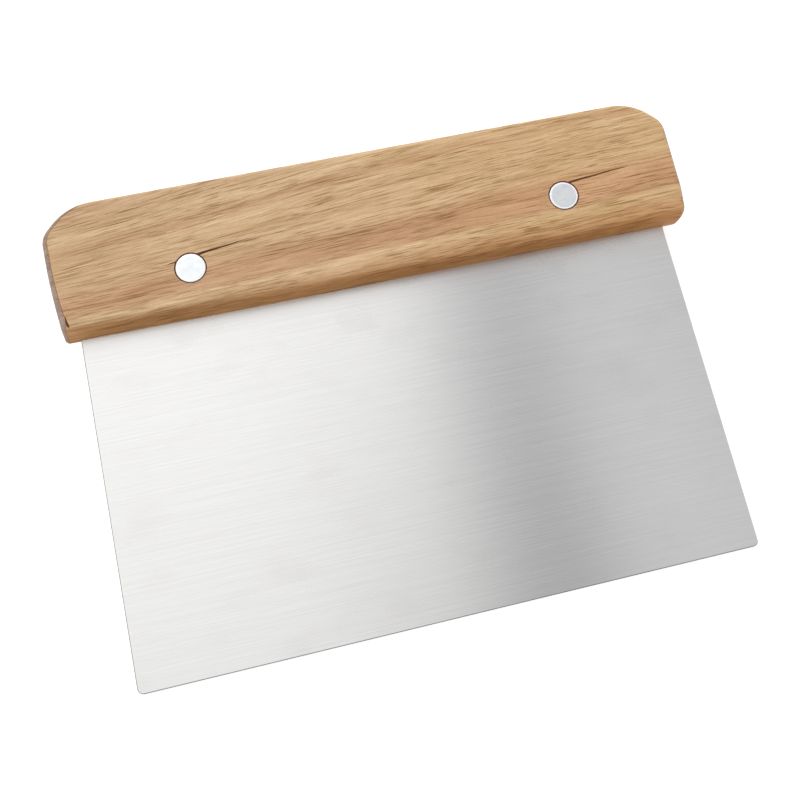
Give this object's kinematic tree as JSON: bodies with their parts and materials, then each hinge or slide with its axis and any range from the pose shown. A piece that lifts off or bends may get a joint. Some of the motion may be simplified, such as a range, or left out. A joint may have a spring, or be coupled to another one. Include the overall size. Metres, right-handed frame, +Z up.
{
  "type": "bench scraper",
  "caption": "Flat rectangular steel blade let into a thick wooden bar handle with clipped corners, for cutting dough and scraping a bench.",
  "frame": {"origin": "under the middle of the scraper's bounding box, on the surface it lies on", "axes": "+X along the handle and the working edge, +Y from the working edge to the handle, +Z up, with the scraper lying on its back, so its blade slopes up about 4 degrees towards the handle"},
  "size_m": [0.16, 0.1174, 0.015],
  "materials": {
    "handle_wood": "sanded, light oil, open pores",
    "blade_steel": "brushed along the working edge",
    "rivet_metal": "sanded flush"
  },
  "bodies": {
    "root": {"handle": "handle_wood", "blade": "blade_steel", "left_rivet_stud": "rivet_metal", "left_rivet_sleeve": "rivet_metal", "right_rivet_stud": "rivet_metal", "right_rivet_sleeve": "rivet_metal"}
  },
  "joints": []
}
